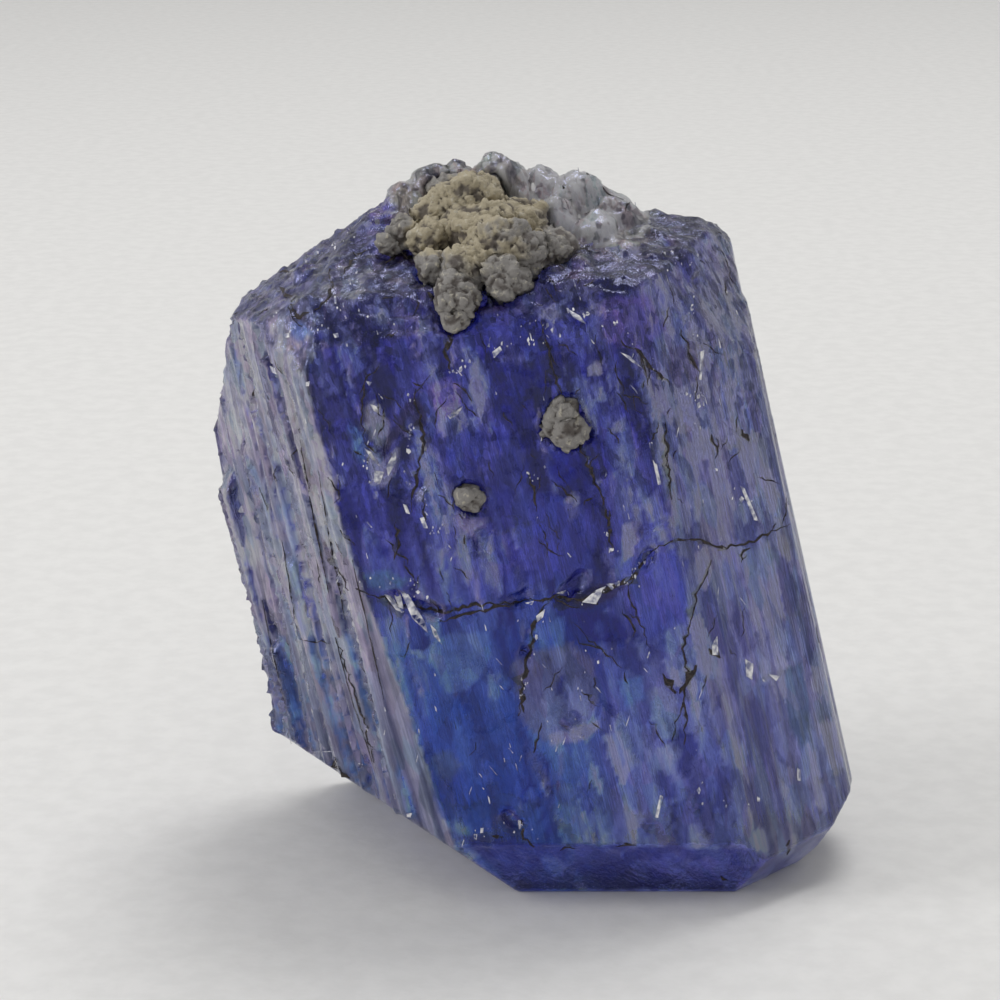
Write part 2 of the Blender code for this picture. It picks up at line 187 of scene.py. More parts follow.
def noiseOf(tree, vector, scale=1.0, detail=2.0, roughness=0.6):
    node = tree.nodes.new("ShaderNodeTexNoise")
    node.inputs["Scale"].default_value = scale
    node.inputs["Detail"].default_value = detail
    node.inputs["Roughness"].default_value = roughness
    tree.links.new(vector, node.inputs["Vector"])
    return node.outputs["Fac"]


def cellsOf(tree, vector):
    # a random colour for each cell
    node = tree.nodes.new("ShaderNodeTexVoronoi")
    node.inputs["Scale"].default_value = 1.0
    tree.links.new(vector, node.inputs["Vector"])
    return node.outputs["Color"]


def oneOf(tree, colour, channel):
    node = tree.nodes.new("ShaderNodeSeparateColor")
    tree.links.new(colour, node.inputs[0])
    return node.outputs[channel]


def bumpOn(tree, shader, height, bump):
    # the bump is given as its strength and its height in mm
    strength, distance = bump
    node = tree.nodes.new("ShaderNodeBump")
    node.inputs["Strength"].default_value = strength
    node.inputs["Distance"].default_value = distance * mm
    tree.links.new(height, node.inputs["Height"])
    tree.links.new(node.outputs[0], shader.inputs["Normal"])


# Camera, floor and light

studioValues = {
    "cameraPlace": (-3.492, -89.864, 38.519),
    "cameraFall": 16.0,  # degrees below level
    "cameraLens": 100.0,
    "cameraSensor": 36.0,
    "photoWidth": 1000.0,  # pixels
    "floorColour": (0.78, 0.772, 0.755),
    "floorSpread": 0.03,
    "floorRoughness": 0.75,
    "floorBump": (0.2, 0.1),
    "worldStrength": 0.54,
    "lights": [
        # place, size and power of the soft lights: above, and at the left
        ((60.0, 120.0, 400.0), 190.0, 0.56),
        ((-260.0, -60.0, 150.0), 130.0, 0.28),
    ],
}


def makeStudio(v):
    camera = bpy.data.cameras.new("camera")
    camera.lens = v["cameraLens"]
    camera.sensor_width = v["cameraSensor"]
    camera.clip_start = 0.001
    cameraObject = bpy.data.objects.new("camera", camera)
    cameraObject.location = Vector(v["cameraPlace"]) * mm
    cameraObject.rotation_euler = (math.radians(90.0 - v["cameraFall"]), 0.0, 0.0)
    bpy.context.scene.collection.objects.link(cameraObject)
    bpy.context.scene.camera = cameraObject

    bm = bmesh.new()
    bmesh.ops.create_grid(bm, x_segments=2, y_segments=2, size=1.5)
    floor = placeBmesh("floor", bm)
    material, tree, shader, _ = newMaterial("palePaper")
    shader.inputs["Roughness"].default_value = v["floorRoughness"]
    coordinates = tree.nodes.new("ShaderNodeTexCoord")
    grain = noiseOf(tree, coordinates.outputs["Object"], 900.0, 3.0)
    lighter = tuple(k * (1.0 + v["floorSpread"]) for k in v["floorColour"])
    darker = tuple(k * (1.0 - v["floorSpread"]) for k in v["floorColour"])
    colour = mixColour(tree, ramp(tree, grain, 0.3, 0.7), darker, lighter)
    tree.links.new(colour, shader.inputs["Base Color"])
    bumpOn(tree, shader, grain, v["floorBump"])
    floor.data.materials.append(material)

    world = bpy.data.worlds.new("studio")
    world.use_nodes = True
    background = world.node_tree.nodes["Background"]
    background.inputs["Color"].default_value = (1.0, 1.0, 1.0, 1.0)
    background.inputs["Strength"].default_value = v["worldStrength"]
    bpy.context.scene.world = world

    for place, size, power in v["lights"]:
        light = bpy.data.lights.new("softbox", "AREA")
        light.shape = "DISK"
        light.size = size * mm
        light.energy = power
        lightObject = bpy.data.objects.new("softbox", light)
        lightObject.location = Vector(place) * mm
        aim = Vector((0.0, 0.0, 0.01)) - lightObject.location
        lightObject.rotation_euler = aim.to_track_quat("-Z", "Y").to_euler()
        bpy.context.scene.collection.objects.link(lightObject)
    bpy.context.scene.view_settings.view_transform = "Standard"


makeStudio(studioValues)
bpy.context.view_layer.update()
viewer = bpy.context.scene.camera.location.copy()
viewerTurn = bpy.context.scene.camera.rotation_euler.to_matrix()
viewerPixels = studioValues["cameraLens"] / studioValues["cameraSensor"] * studioValues["photoWidth"]
viewerMiddle = studioValues["photoWidth"] / 2.0
viewerReach = 0.095  # metres from the camera to the front of the stone
print("studio ready")


# The crystal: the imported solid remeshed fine, then striated, stepped and etched

crystalValues = {
    "voxel": 0.143,
    "striaePitch": 0.45,
    "striaeHeight": 0.03,
    "leftBand": 0.42,  # width of the stepped bands of the left side
    "leftBandLength": 7.5,
    "leftBandHeight": 0.12,
    "frontCell": (0.95, 2.8),
    "frontTilt": 0.15,
    "etchedCell": (0.42, 1.1),
    "etchedTilt": 0.10,
    "etchedFrom": (11.5, 17.0),  # the front turns from smooth to etched between these heights
    "backCell": (1.4, 3.2),
    "backTilt": 0.45,
    "crownCell": (0.52, 1.3),
    "crownTilt": 0.30,
    "crownRidge": (0.75, 0.10),  # pitch and height of the ridges that run up the crown
    "shoulderCell": (0.55, 0.55),
    "shoulderTilt": 0.10,
}


def striae(p, pitch):
    wave = noise.noise(Vector((p.x / pitch, p.y / pitch, p.z * 0.035)))
    fine = noise.noise(Vector((p.x / pitch * 2.3, p.y / pitch * 2.3, p.z * 0.08 + 7.0)))
    return (1.0 - 2.0 * abs(wave)) * 0.7 + fine * 0.5 - 0.35


def leftBands(p, v):
    # long flat bands of different heights, each ending in a slanting step
    along = (p.y - p.x * 0.5) / v["leftBand"] + 0.25 * noise.noise(p * 0.25)
    band = math.floor(along)
    start = 17.0 * cellValue(band, 3.0)
    stretch = p.z / v["leftBandLength"] + start - 0.12 * (along - band)
    level = cellValue(band, math.floor(stretch))
    wall = smoothStep(0.0, 0.16, min(along - band, band + 1.0 - along))
    return (level - 0.5) * 2.0 * wall


def tiltedCells(p, cell):
    # a mosaic of flat cells, each tilted its own way: its height, and how near its wall is
    across, along = cell
    place = Vector((p.x / across, p.y / across, p.z / along))
    place += noise.noise_vector(place * 0.9) * 0.35
    distances, points = noise.voronoi(place)
    tilt = noise.cell_vector(points[0] * 7.3)
    offset = place - points[0]
    lift = offset.dot(tilt) + 0.35 * (tilt.x + tilt.y)
    wall = 1.0 - smoothStep(0.0, 0.12, distances[1] - distances[0])
    return lift, wall


def onTheTop(p, n):
    return smoothStep(0.20, 0.55, n.z) * smoothStep(17.5, 19.5, p.z)


def onTheCrown(p, n):
    height = (toStanding @ p).z
    within = smoothStep(-2.0, -1.1, p.x) * smoothStep(7.0, 6.0, p.x)
    return within * smoothStep(21.5, 22.4, height) * smoothStep(-0.9, -0.5, n.z)


def shapeCrystal(piece, v):
    mesh = piece.data
    moved = []
    for vert in mesh.vertices:
        p = crystalPlace(vert.co)
        n = toCrystal @ vert.normal
        onSide = 1.0 - smoothStep(0.30, 0.70, abs(n.z))
        onTop = onTheTop(p, n)
        crown = onTheCrown(p, n)
        onLeft = smoothStep(0.62, 0.80, -n.x) * onSide
        onFront = smoothStep(0.85, 0.97, -n.y)
        onBack = smoothStep(0.60, 0.90, n.y) * onSide
        edgeOn = smoothStep(0.45, 0.80, abs(n.x))
        etched = smoothStep(*v["etchedFrom"], p.z) * (1.0 - onLeft) * (1.0 - 0.6 * edgeOn)
        shift = onSide * v["striaeHeight"] * striae(p, v["striaePitch"])
        shift += onLeft * v["leftBandHeight"] * leftBands(p, v)
        if onFront > 0.0:
            lift, wall = tiltedCells(p, v["frontCell"])
            shift += onFront * (1.0 - 0.5 * etched) * (v["frontTilt"] * lift - 0.03 * wall)
        if etched > 0.0 and onSide > 0.0:
            lift, wall = tiltedCells(p, v["etchedCell"])
            shift += onSide * etched * (v["etchedTilt"] * lift - 0.04 * wall)
        if onBack > 0.0:
            lift, wall = tiltedCells(p, v["backCell"])
            shift += onBack * (v["backTilt"] * min(0.4, lift) - 0.05 * wall)
        if crown > 0.0:
            lift, wall = tiltedCells(p, v["crownCell"])
            pitch, ridge = v["crownRidge"]
            shift += crown * (v["crownTilt"] * min(0.35, lift) - 0.07 * wall)
            shift += crown * ridge * striae(p, pitch)
        if onTop > crown:
            lift, wall = tiltedCells(p, v["shoulderCell"])
            shift += (onTop - crown) * (v["shoulderTilt"] * lift - 0.05 * wall)
        grounded = smoothStep(0.0, 0.6, vert.co.z / mm)
        moved.append(vert.co + vert.normal * (shift * grounded * mm))
    for vert, place in zip(mesh.vertices, moved):
        vert.co = place
    mesh.update()


crystal = weldedCopy("tanzanite_crystal", "crystal")
remeshed(crystal, crystalValues["voxel"])
print("crystal remeshed", len(crystal.data.polygons))
shapeCrystal(crystal, crystalValues)
print("crystal shaped")


# The colour of the crystal, kept in an attribute. The ladders run from the darkest to the
# brightest cell of a zone and are given as they look in daylight, from 0 to 255

toneValues = {
    "share": (0.150, 0.155, 0.272),  # what the clear stone gives back of its own colour
    # paleShare also holds above the pale layer that paints the left side's sheen
    "paleShare": (0.30, 0.30, 0.33),  # the same above a milky layer
    "veil": (0.012, 0.012, 0.018),
    "cell": (0.60, 1.6),
    "domain": (1.9, 4.2),
    "upper": ((26, 25, 62), (44, 44, 98), (58, 60, 124),
              (74, 78, 144), (98, 104, 168), (142, 150, 200)),
    "lowerLeft": ((34, 42, 92), (46, 60, 122), (56, 74, 138),
                  (72, 94, 158), (98, 122, 182), (140, 160, 208)),
    "lowerRight": ((44, 46, 92), (64, 68, 122), (78, 84, 138),
                   (92, 100, 152), (116, 124, 172), (154, 162, 198)),
    "right": ((62, 64, 104), (82, 86, 128), (98, 102, 144),
              (114, 118, 156), (138, 142, 174), (172, 176, 198)),
    # the left side: pale partly from painted sheen
    "left": ((84, 86, 118), (108, 108, 138), (128, 126, 150),
             (146, 144, 162), (172, 170, 184), (208, 208, 218)),
    "leftLow": ((54, 55, 80), (74, 75, 102), (90, 91, 118),
                (106, 107, 132), (130, 131, 150), (172, 172, 186)),
    "shoulder": ((34, 34, 58), (56, 56, 88), (70, 70, 106),
                 (84, 84, 122), (106, 106, 142), (144, 144, 172)),
    "crown": ((84, 80, 84), (130, 126, 130), (160, 157, 158),
              (182, 180, 181), (206, 204, 205), (232, 231, 231)),
    "patchStrength": 0.82,
    "patchColours": {
        "navy": (34, 36, 92),
        "indigo": (46, 48, 106),
        "royal": (56, 60, 132),
        "deep": (44, 60, 122),
        "sky": (80, 104, 172),
        "ice": (168, 178, 218),
        "violet": (84, 76, 144),
        "glow": (116, 98, 188),
        "lavender": (118, 114, 160),
        "greyViolet": (84, 84, 112),
        "slate": (100, 112, 152),
        "teal": (70, 94, 132),
        "moss": (58, 72, 98),
        "pale": (158, 158, 184),
        "mist": (140, 139, 162),
        "brown": (46, 40, 52),
        "stain": (108, 98, 94),
        "dusk": (72, 68, 98),
    },
    "patches": [
        # colour, and the outline in pixels of the photograph
        ("ice", [(361, 446), (372, 452), (385, 462), (398, 448), (396, 470), (386, 484), (374, 486)]),
        ("pale", [(367, 404), (377, 402), (388, 420), (390, 446), (376, 446), (366, 426)]),
        ("brown", [(412, 396), (419, 402), (402, 430), (384, 460), (374, 467), (378, 448), (396, 420)]),
        ("glow", [(430, 385), (445, 378), (461, 388), (458, 410), (444, 419), (432, 408)]),
        ("brown", [(410, 404), (420, 402), (427, 412), (424, 429), (412, 426)]),
        ("navy", [(485, 365), (505, 359), (525, 366), (537, 385), (530, 415), (510, 426), (492, 410)]),
        ("navy", [(543, 452), (560, 445), (580, 455), (592, 488), (572, 486), (552, 478)]),
        ("navy", [(572, 612), (600, 610), (622, 622), (629, 640), (604, 644), (584, 634)]),
        ("pale", [(563, 500), (573, 491), (580, 510), (572, 523)]),
        ("royal", [(510, 500), (540, 490), (580, 504), (600, 530), (590, 570), (550, 580), (520, 560)]),
        ("lavender", [(455, 516), (470, 513), (484, 522), (478, 536), (460, 534)]),
        ("navy", [(425, 521), (434, 524), (433, 542), (426, 538)]),
        ("navy", [(389, 520), (401, 524), (398, 536), (391, 532)]),
        ("navy", [(380, 544), (392, 548), (390, 560), (381, 556)]),
        ("sky", [(350, 426), (366, 432), (362, 465), (352, 455)]),
        ("pale", [(586, 364), (600, 362), (602, 374), (590, 376)]),
        ("pale", [(613, 424), (622, 422), (624, 431), (615, 432)]),
        ("navy", [(604, 508), (612, 512), (612, 534), (606, 530)]),
        ("pale", [(675, 412), (690, 410), (699, 422), (692, 432), (678, 430)]),
        ("dusk", [(662, 352), (680, 346), (700, 356), (698, 384), (676, 387), (664, 372)]),
        ("slate", [(732, 548), (760, 545), (780, 552), (776, 580), (745, 578)]),
        ("teal", [(362, 572), (390, 569), (407, 578), (400, 588), (372, 590)]),
        ("sky", [(436, 640), (455, 630), (485, 632), (491, 655), (470, 690), (445, 694), (434, 670)]),
        ("deep", [(430, 702), (470, 694), (515, 700), (522, 740), (515, 800), (480, 828), (440, 820),
                  (426, 760)]),
        ("moss", [(430, 755), (450, 751), (464, 765), (450, 781), (434, 776)]),
        ("greyViolet", [(510, 665), (540, 648), (570, 644), (595, 660), (599, 700), (580, 735),
                        (545, 742), (520, 720)]),
        ("lavender", [(551, 733), (575, 729), (597, 721), (599, 731), (575, 741), (553, 746)]),
        ("navy", [(557, 675), (567, 673), (566, 700), (558, 696)]),
        ("brown", [(571, 600), (590, 587), (610, 583), (629, 586), (610, 600), (585, 611)]),
        ("slate", [(648, 690), (665, 686), (678, 700), (676, 735), (660, 739), (650, 720)]),
        ("slate", [(655, 748), (670, 741), (681, 755), (672, 777), (656, 770)]),
        ("sky", [(619, 680), (640, 678), (644, 700), (628, 707)]),
        ("moss", [(783, 668), (800, 665), (813, 740), (800, 750), (788, 720)]),
        ("royal", [(622, 562), (650, 548), (690, 562), (686, 620), (650, 640), (630, 610)]),
        ("indigo", [(455, 300), (540, 318), (560, 352), (520, 356), (470, 350), (440, 330)]),
        ("violet", [(600, 300), (650, 296), (668, 330), (640, 352), (604, 340)]),
        ("indigo", [(430, 440), (470, 430), (520, 440), (530, 480), (500, 510), (450, 490)]),
        ("mist", [(268, 318), (282, 312), (304, 380), (326, 460), (348, 550), (372, 620), (352, 640),
                  (330, 560), (306, 470), (284, 390)]),
        ("stain", [(390, 192), (408, 186), (426, 192), (424, 214), (400, 216)]),
        ("stain", [(440, 176), (478, 164), (504, 180), (500, 200), (452, 196)]),
        ("brown", [(384, 246), (410, 236), (442, 250), (442, 264), (402, 266)]),
        ("brown", [(424, 290), (440, 300), (446, 326), (434, 326)]),
        ("brown", [(470, 306), (500, 300), (512, 306), (480, 318)]),
        ("dusk", [(548, 268), (580, 262), (600, 280), (560, 296)]),
        ("violet", [(366, 200), (384, 192), (396, 206), (392, 228), (372, 226)]),
        ("sky", [(286, 324), (300, 320), (312, 330), (300, 341), (288, 338)]),
        # darker recesses of the left side: painted shade
        ("slate", [(243, 456), (252, 458), (262, 490), (248, 497)]),
        ("slate", [(282, 540), (292, 538), (313, 636), (296, 640)]),
        ("slate", [(273, 506), (287, 505), (288, 519), (275, 519)]),
        # the blue of the bottom facet, darkened with painted shade along the bottom edge
        ("indigo", [(450, 832), (520, 842), (640, 846), (760, 850), (790, 862), (740, 890), (520, 890)]),
    ],
}


def paintTones(piece, v):
    mesh = piece.data
    count = len(mesh.vertices)
    place = np.empty(count * 3)
    mesh.vertices.foreach_get("co", place)
    place = place.reshape(count, 3)
    height, level, crown, onTop, left, right, etched = (np.zeros(count) for _ in range(7))
    bent = np.zeros((count, 2))
    for index, vert in enumerate(mesh.vertices):
        p = crystalPlace(vert.co)
        n = toCrystal @ vert.normal
        across, along = v["cell"]
        cell = Vector((p.x / across, p.y / across, p.z / along))
        cell += noise.noise_vector(cell * 1.1) * 0.45
        distances, points = noise.voronoi(cell)
        pick = cellValue(points[0].x * 7.1 + points[0].z * 3.3, points[0].y * 5.3)
        across, along = v["domain"]
        domain = noise.noise(Vector((p.x / across, p.y / across, p.z / along)))
        long = noise.noise(Vector((p.x / 0.26, p.y / 0.26, p.z / 8.0)))
        wall = 1.0 - smoothStep(0.02, 0.16, distances[1] - distances[0])
        height[index] = p.z
        crown[index] = onTheCrown(p, n)
        onTop[index] = onTheTop(p, n)
        left[index] = smoothStep(0.28, 0.50, -n.x)
        right[index] = smoothStep(0.25, 0.60, n.x)
        etched[index] = smoothStep(11.0, 18.0, p.z + 2.0 * domain)
        etched[index] *= (1.0 - 0.75 * left[index]) * (1.0 - 0.15 * crown[index])
        mosaic = 0.34 * pick + 0.40 * domain + 0.40 * long - 0.12 * wall + 0.32
        bands = 0.10 * pick + 0.12 * domain + 0.55 * long + 0.46
        level[index] = mosaic + (bands - mosaic) * left[index]
        if crown[index] > 0.0:
            # painted light on the lobes of the crown: painted highlights on their ridges and painted
            # shade between them
            ridge = striae(p, crystalValues["crownRidge"][0])
            wall = tiltedCells(p, crystalValues["crownCell"])[1]
            lobe = 0.60 + 0.8 * (level[index] - 0.5) + 0.35 * ridge - 0.55 * wall
            level[index] += (lobe - level[index]) * crown[index]
        wave = noise.noise_vector(p * 1.3)
        bent[index] = (3.5 * wave.x + 2.0 * long, 4.0 * wave.y)
    turn = np.array(viewerTurn)
    seen = (place - np.array(viewer)) @ turn
    px = viewerMiddle - viewerPixels * seen[:, 0] / seen[:, 2] + bent[:, 0]
    py = viewerMiddle + viewerPixels * seen[:, 1] / seen[:, 2] + bent[:, 1]

    def daylight(colour):
        return (np.array(colour) / 255.0) ** 2.2

    def ladder(name):
        steps = daylight(v[name])
        stops = np.linspace(0.0, 1.0, len(steps))
        return np.stack([np.interp(level, stops, steps[:, k]) for k in range(3)], axis=1)

    def smooth(low, high, values):
        share = np.clip((values - low) / (high - low), 0.0, 1.0)
        return (share * share * (3.0 - 2.0 * share))[:, None]

    colour = ladder("upper")
    lower = smooth(560.0, 650.0, py + 0.18 * (px - 500.0))
    toRight = smooth(560.0, 640.0, px)
    below = ladder("lowerLeft") * (1.0 - toRight) + ladder("lowerRight") * toRight
    colour = colour * (1.0 - lower) + below * lower
    edge = smooth(640.0, 730.0, px - 0.13 * (py - 400.0)) * 0.7
    colour = colour * (1.0 - edge) + ladder("right") * edge

    milkAndSheen = np.zeros((count, 1))
    leftHigh = left * smooth(7.0, 13.0, height)[:, 0]
    zones = [("right", right * 0.75), ("leftLow", left), ("left", leftHigh), ("shoulder", onTop),
             ("crown", crown)]
    for name, weight in zones:
        share = weight[:, None]
        # painted light: the crown is painted lighter towards the right
        bright = 0.78 + 0.90 * smooth(440.0, 580.0, px) if name == "crown" else 1.0
        colour = colour * (1.0 - share) + ladder(name) * bright * share
        if name in ("left", "leftLow", "crown"):
            milkAndSheen = milkAndSheen * (1.0 - share) + share

    # The patches read off the photograph, on what faces the camera
    normals = np.empty(count * 3)
    mesh.vertices.foreach_get("normal", normals)
    facing = smooth(0.15, 0.40, normals.reshape(count, 3) @ turn[:, 2])[:, 0]
    for name, outline in v["patches"]:
        inside = np.zeros(count, dtype=bool)
        away = np.full(count, 1e9)
        for (x0, y0), (x1, y1) in zip(outline, outline[1:] + outline[:1]):
            crossing = (y0 > py) != (y1 > py)
            inside ^= crossing & (px < (x1 - x0) * (py - y0) / (y1 - y0 + 1e-9) + x0)
            run = np.clip(((px - x0) * (x1 - x0) + (py - y0) * (y1 - y0))
                          / ((x1 - x0) ** 2 + (y1 - y0) ** 2), 0.0, 1.0)
            away = np.minimum(away, np.hypot(px - x0 - run * (x1 - x0), py - y0 - run * (y1 - y0)))
        depth = np.where(inside, away, -away)
        share = smooth(-1.5, 2.0, depth) * facing[:, None] * v["patchStrength"]
        lit = daylight(v["patchColours"][name]) * (0.72 + 0.56 * np.clip(level, 0.0, 1.0)[:, None])
        colour = colour * (1.0 - share) + lit * share

    share = np.array(v["share"]) * (1.0 - milkAndSheen) + np.array(v["paleShare"]) * milkAndSheen
    own = np.clip((colour - np.array(v["veil"])) / share, 0.012, 1.7)
    tone = mesh.attributes.new("tone", "FLOAT_COLOR", "POINT")
    tone.data.foreach_set("color", np.hstack([own, np.ones((count, 1))]).ravel())
    mesh.attributes.new("etched", "FLOAT", "POINT").data.foreach_set("value", etched)


paintTones(crystal, toneValues)
print("crystal painted")

gemValues = {
    "ior": 1.69,
    "transmission": 0.82,
    "specularTint": (0.50, 0.53, 0.90, 1.0),
    "absorptionColour": (0.05, 0.09, 0.66, 1.0),
    "absorptionDensity": 190.0,
    "streakCell": (0.12, 0.12, 4.2),
    "shardCell": (0.40, 0.40, 1.20),
    "crumbCell": (0.17, 0.17, 0.36),
    "streakLift": (-0.30, 0.36),  # darkest and brightest streak, added to 1
    "shardLift": (0.74, 1.28),
    "shardHues": ((0.86, 1.04, 1.03), (1.12, 0.95, 0.98)),
    "roughness": (0.03, 0.12),
    "bump": (0.7, 0.06),
}


def gemMaterial(v):
    material, tree, shader, output = newMaterial("tanzaniteGem")
    shader.inputs["IOR"].default_value = v["ior"]
    shader.inputs["Transmission Weight"].default_value = v["transmission"]
    shader.inputs["Specular Tint"].default_value = v["specularTint"]
    absorption = tree.nodes.new("ShaderNodeVolumeAbsorption")
    absorption.inputs["Color"].default_value = v["absorptionColour"]
    absorption.inputs["Density"].default_value = v["absorptionDensity"]
    tree.links.new(absorption.outputs[0], output.inputs["Volume"])
    tone = tree.nodes.new("ShaderNodeVertexColor")
    tone.layer_name = "tone"
    zone = tree.nodes.new("ShaderNodeAttribute")
    zone.attribute_name = "etched"
    etched = zone.outputs["Fac"]

    # Fine streaks along the crystal, sharp shards, and crumbs where it is etched
    streaks = noiseOf(tree, crystalCoordinates(tree, v["streakCell"]))
    shards = cellsOf(tree, crystalCoordinates(tree, v["shardCell"], (0.4, 0.0, 0.0)))
    crumbs = cellsOf(tree, crystalCoordinates(tree, v["crumbCell"]))
    lift = ramp(tree, streaks, 0.32, 0.70, *v["streakLift"])
    lift = maths(tree, "MULTIPLY", lift, ramp(tree, etched, 0.0, 1.0, 0.42, 1.05))
    lift = maths(tree, "ADD", lift, 1.0)
    crumb = maths(tree, "SUBTRACT", oneOf(tree, crumbs, "Blue"), 0.55)
    crumb = maths(tree, "MULTIPLY", crumb, ramp(tree, etched, 0.0, 1.0, 0.30, 1.3))
    lift = maths(tree, "MULTIPLY", lift, maths(tree, "ADD", crumb, 1.0))
    shard = oneOf(tree, shards, "Red")
    lift = maths(tree, "MULTIPLY", lift, ramp(tree, shard, 0.0, 1.0, *v["shardLift"]))
    hue = mixColour(tree, oneOf(tree, shards, "Green"), *v["shardHues"])
    colour = vectorMaths(tree, "MULTIPLY", tone.outputs["Color"], hue)
    colour = vectorMaths(tree, "MULTIPLY", colour, lift)
    colour = vectorMaths(tree, "MINIMUM", colour, (1.0, 1.0, 1.0))
    tree.links.new(colour, shader.inputs["Base Color"])

    rough = ramp(tree, streaks, 0.35, 0.70, *v["roughness"])
    tree.links.new(rough, shader.inputs["Roughness"])
    bumpOn(tree, shader, streaks, v["bump"])
    return material


gem = gemMaterial(gemValues)
crystal.data.materials.append(gem)
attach(crystal, "root")
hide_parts("tanzanite_crystal")


def innerMaterial(name, dark, light, transmission, roughness, cell=(0.3, 0.3, 0.9)):
    material, tree, shader, _ = newMaterial(name)
    grain = noiseOf(tree, crystalCoordinates(tree, cell))
    colour = mixColour(tree, ramp(tree, grain, 0.35, 0.65), dark, light)
    tree.links.new(colour, shader.inputs["Base Color"])
    rough = ramp(tree, grain, 0.3, 0.7, roughness, roughness + 0.2)
    tree.links.new(rough, shader.inputs["Roughness"])
    shader.inputs["Transmission Weight"].default_value = transmission
    shader.inputs["IOR"].default_value = 1.35
    return material


def finishInner(piece, material):
    piece.data.materials.append(material)
    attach(piece, "root")


surface = BVHTree.FromPolygons(
    [v.co for v in crystal.data.vertices],
    [p.vertices[:] for p in crystal.data.polygons],
)


# A milky layer under the crown, and a pale layer under the left side that paints its whitish sheen

paleLayerValues = {
    "voxel": 0.22,
    "depth": 0.12,
    "cover": 0.10,  # of clear stone over it at the least
    "thickness": 0.05,
    "least": 0.35,  # a face of the surface has a layer under it where its share is above this
    "lowest": 1.0,
    "crown": {"dark": (0.80, 0.78, 0.78), "light": (1.00, 0.99, 0.98), "transmission": 0.30,
              "cell": (0.16, 0.16, 0.7)},
    # the pale layer that paints the whitish sheen of the left side
    "left": {"dark": (0.50, 0.50, 0.60), "light": (0.96, 0.95, 0.98), "transmission": 0.15,
             "cell": (0.16, 0.16, 6.0)},
}


def onTheLeft(p, n):
    streak = noise.noise(Vector((p.x / 0.5, p.y / 0.5, p.z / 5.0)))
    low = 0.35 * smoothStep(13.0, 5.0, p.z)
    turned = smoothStep(0.25, 0.45, -n.x) * smoothStep(0.40, 0.20, n.y) * smoothStep(-3.6, -4.2, p.x)
    return turned * (1.0 - onTheCrown(p, n)) * (0.95 - low + 0.6 * streak)


def makePaleLayer(pieceName, where, v, finish):
    piece = placeMesh(pieceName, crystal.data.copy())
    piece.data.materials.clear()
    remeshed(piece, v["voxel"])
    bm = bmesh.new()
    bm.from_mesh(piece.data)
    gone = []
    for face in bm.faces:
        middle = face.calc_center_median()
        share = where(crystalPlace(middle), toCrystal @ face.normal)
        if share < v["least"] or middle.z < v["lowest"] * mm:
            gone.append(face)
    outwards = bm.verts.layers.float_vector.new("outwards")
    for vert in bm.verts:
        vert[outwards] = vert.normal
    for vert in bm.verts:
        vert.co -= vert[outwards] * (v["depth"] * mm)
    bmesh.ops.delete(bm, geom=gone, context="FACES")
    for vert in bm.verts:
        # no groove of the surface reaches through the layer
        place, normal, _, _ = surface.find_nearest(vert.co)
        under = (place - vert.co).dot(normal)
        vert.co -= normal * max(0.0, v["cover"] * mm - under)
    grown = bmesh.ops.extrude_face_region(bm, geom=bm.faces[:])["geom"]
    for vert in grown:
        if isinstance(vert, bmesh.types.BMVert):
            vert.co -= vert[outwards] * (v["thickness"] * mm)
    bmesh.ops.recalc_face_normals(bm, faces=bm.faces)
    bm.to_mesh(piece.data)
    bm.free()
    material = innerMaterial(pieceName, finish["dark"], finish["light"], finish["transmission"],
                             0.3, finish["cell"])
    finishInner(piece, material)


makePaleLayer("milky_crown", onTheCrown, paleLayerValues, paleLayerValues["crown"])
makePaleLayer("sheen_layer_left", onTheLeft, paleLayerValues, paleLayerValues["left"])
print("milky layers placed")


# Cracks on the surface, and flakes that paint glints of light on it, some of them pale crumbs.
# Those of the front are read off the photograph in its pixels and carried onto the finished surface



def spotSeen(px, py):
    # the place on the crystal's surface under this pixel of the photograph, and its normal
    right, up = (px - viewerMiddle) / viewerPixels, (viewerMiddle - py) / viewerPixels
    aim = viewerTurn @ Vector((right, up, -1.0))
    place, normal, _, _ = surface.ray_cast(viewer, aim.normalized())
    if place is None:
        place, normal, _, _ = surface.find_nearest(viewer + aim * viewerReach)
    return place, normal


def spotAround(rng, low, high):
    # a random place on the sides of the stone, more of them in front
    while True:
        around = rng.uniform(0.0, 2.0 * math.pi)
        if rng.random() < 0.5:
            around = rng.uniform(-1.0, 1.0) - math.pi / 2
        h = rng.uniform(low, high)
        outside = standingPlace(25.0 * math.cos(around), 25.0 * math.sin(around), h + 4.0)
        aim = standingPlace(rng.uniform(-6, 6), rng.uniform(-2, 3), h) - outside
        place, normal, _, _ = surface.ray_cast(outside, aim.normalized())
        if place is not None and place.z > 0.0015:
            return place, normal


def jaggedLine(line, rng, step=5.0, throw=2.2):
    stations = []
    for (x0, y0), (x1, y1) in zip(line, line[1:]):
        run = Vector((x1 - x0, y1 - y0))
        count = max(1, round(run.length / step))
        for index in range(count):
            aside = Vector((-run.y, run.x)).normalized() * rng.uniform(-throw, throw)
            stations.append(Vector((x0, y0)) + run * (index / count) + aside)
    stations.append(Vector(line[-1]))
    return stations


